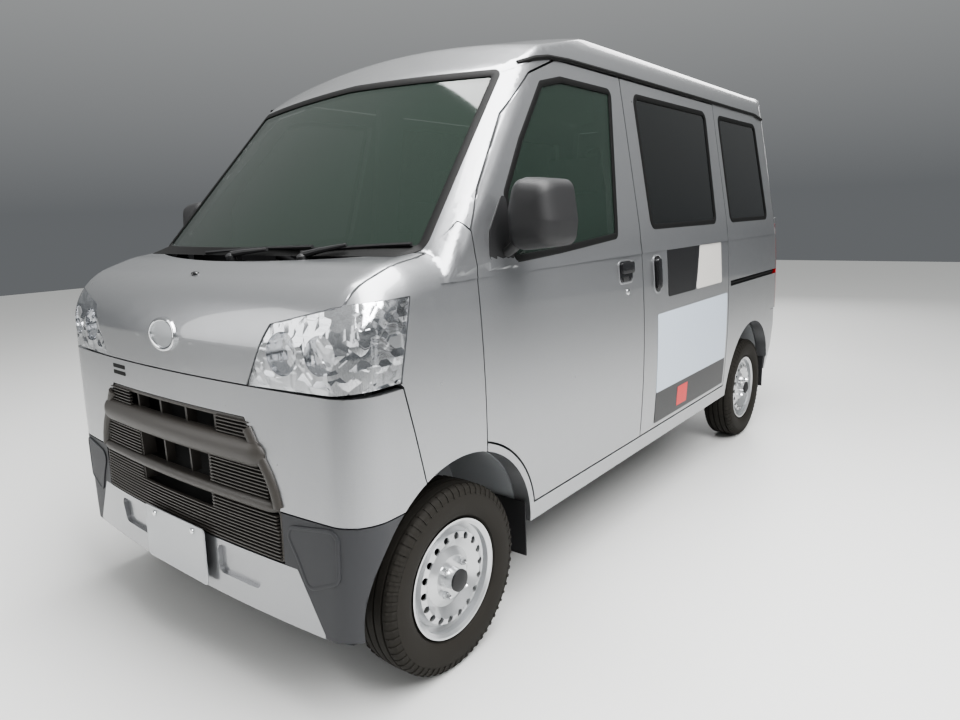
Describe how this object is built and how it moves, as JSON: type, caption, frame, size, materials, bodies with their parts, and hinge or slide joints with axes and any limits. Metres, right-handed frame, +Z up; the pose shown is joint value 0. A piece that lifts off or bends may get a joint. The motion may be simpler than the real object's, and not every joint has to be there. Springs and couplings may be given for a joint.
{
  "type": "kei cargo van",
  "caption": "Small cab-over-engine cargo van with a short hood, hinged front doors, sliding side doors and a lifting tailgate, standing on its wheels.",
  "frame": {"origin": "on the ground, under the middle of the overall box", "axes": "+Z up, -Y the direction the van faces, +X the vehicle's left side"},
  "size_m": [1.7996, 3.3949, 1.8749],
  "materials": {
    "body_silver": "metallic silver paint",
    "black_plastic": "textured black plastic",
    "dark_glass": "dark privacy glass",
    "green_glass": "green tinted safety glass",
    "clear_lens": "clear lamp lens",
    "lamp_chrome": "bright lamp reflector",
    "red_lens": "red tail lamp lens",
    "seat_cloth": "grey woven seat cloth",
    "grey_trim": "grained grey cabin plastic",
    "under_black": "black chassis paint",
    "engine_metal": "cast engine block",
    "steel": "bare steel",
    "wheel_silver": "silver wheel paint",
    "tyre_rubber": "tyre rubber",
    "floor_paint": "silver floor paint with mat"
  },
  "bodies": {
    "body_shell": {"side_panels": "body_silver", "roof": "body_silver", "floor_pan": "floor_paint", "fenders": "body_silver", "cowl": "black_plastic", "sliding_doors": "body_silver", "privacy_glass": "dark_glass", "windscreen": "green_glass", "bumper_cover": "body_silver", "lower_bumper": "black_plastic", "lower_garnish": "body_silver", "headlamp_lenses": "clear_lens", "headlamp_housings": "lamp_chrome", "wipers": "black_plastic", "rear_bumper": "body_silver", "tail_lamps": "red_lens", "seats": "seat_cloth", "dashboard": "grey_trim", "engine": "engine_metal", "chassis_frame": "under_black", "rear_axle": "under_black", "fuel_tank": "under_black", "exhaust": "steel", "mud_flaps": "black_plastic"},
    "door_left": {"front_door_left": "body_silver", "door_glass_left": "green_glass", "door_trim_left": "black_plastic"},
    "door_right": {"front_door_right": "body_silver", "door_glass_right": "green_glass", "door_trim_right": "black_plastic"},
    "hood_panel": {"hood": "body_silver"},
    "tailgate_door": {"tailgate": "body_silver", "tailgate_glass": "dark_glass"},
    "filler_lid": {"fuel_lid": "body_silver"},
    "steering": {"steering_wheel": "black_plastic"},
    "steer_left": {"knuckle_left": "under_black"},
    "steer_right": {"knuckle_right": "under_black"},
    "wheel_front_left": {"rim_front_left": "wheel_silver", "tyre_front_left": "tyre_rubber"},
    "wheel_front_right": {"rim_front_right": "wheel_silver", "tyre_front_right": "tyre_rubber"},
    "wheel_rear_left": {"rim_rear_left": "wheel_silver", "tyre_rear_left": "tyre_rubber"},
    "wheel_rear_right": {"rim_rear_right": "wheel_silver", "tyre_rear_right": "tyre_rubber"}
  },
  "joints": [
    {"name": "front_door_left_hinge", "type": "hinge", "parent": "body_shell", "child": "door_left", "pos_m": [0.7275, -1.1005, 0.7], "axis": [0.0523, 0, -0.9986], "range_deg": [0, 65]},
    {"name": "front_door_right_hinge", "type": "hinge", "parent": "body_shell", "child": "door_right", "pos_m": [-0.7275, -1.1005, 0.7], "axis": [0.0523, 0, 0.9986], "range_deg": [0, 65]},
    {"name": "hood_hinge", "type": "hinge", "parent": "body_shell", "child": "hood_panel", "pos_m": [0, -1.3145, 1.156], "axis": [-1, 0, 0], "range_deg": [0, 55]},
    {"name": "tailgate_hinge", "type": "hinge", "parent": "body_shell", "child": "tailgate_door", "pos_m": [0, 1.6185, 1.737], "axis": [1, 0, 0], "range_deg": [0, 85]},
    {"name": "fuel_lid_hinge", "type": "hinge", "parent": "body_shell", "child": "filler_lid", "pos_m": [-0.7395, 1.2595, 0.77], "axis": [0, 0, 1], "range_deg": [0, 100]},
    {"name": "steer_left", "type": "hinge", "parent": "body_shell", "child": "steer_left", "pos_m": [0.6, -1.3025, 0.265], "axis": [0, 0, 1], "range_deg": [-34, 34]},
    {"name": "steer_right", "type": "hinge", "parent": "body_shell", "child": "steer_right", "pos_m": [-0.6, -1.3025, 0.265], "axis": [0, 0, 1], "range_deg": [-34, 34]},
    {"name": "steering_wheel_turn", "type": "hinge", "parent": "body_shell", "child": "steering", "pos_m": [-0.33, -0.9725, 1.01], "axis": [0, 0.6691, 0.7431], "range_deg": [-612, 612]},
    {"name": "wheel_front_left_roll", "type": "hinge", "parent": "steer_left", "child": "wheel_front_left", "pos_m": [0.6525, -1.3025, 0.265], "axis": [1, 0, 0], "continuous": true},
    {"name": "wheel_front_right_roll", "type": "hinge", "parent": "steer_right", "child": "wheel_front_right", "pos_m": [-0.6525, -1.3025, 0.265], "axis": [1, 0, 0], "continuous": true},
    {"name": "wheel_rear_left_roll", "type": "hinge", "parent": "body_shell", "child": "wheel_rear_left", "pos_m": [0.65, 1.1475, 0.265], "axis": [1, 0, 0], "continuous": true},
    {"name": "wheel_rear_right_roll", "type": "hinge", "parent": "body_shell", "child": "wheel_rear_right", "pos_m": [-0.65, 1.1475, 0.265], "axis": [1, 0, 0], "continuous": true}
  ],
  "couplings": [
    {"joint": "steer_right", "follows": "steer_left", "ratio": 1},
    {"joint": "steering_wheel_turn", "follows": "steer_left", "ratio": 18}
  ]
}
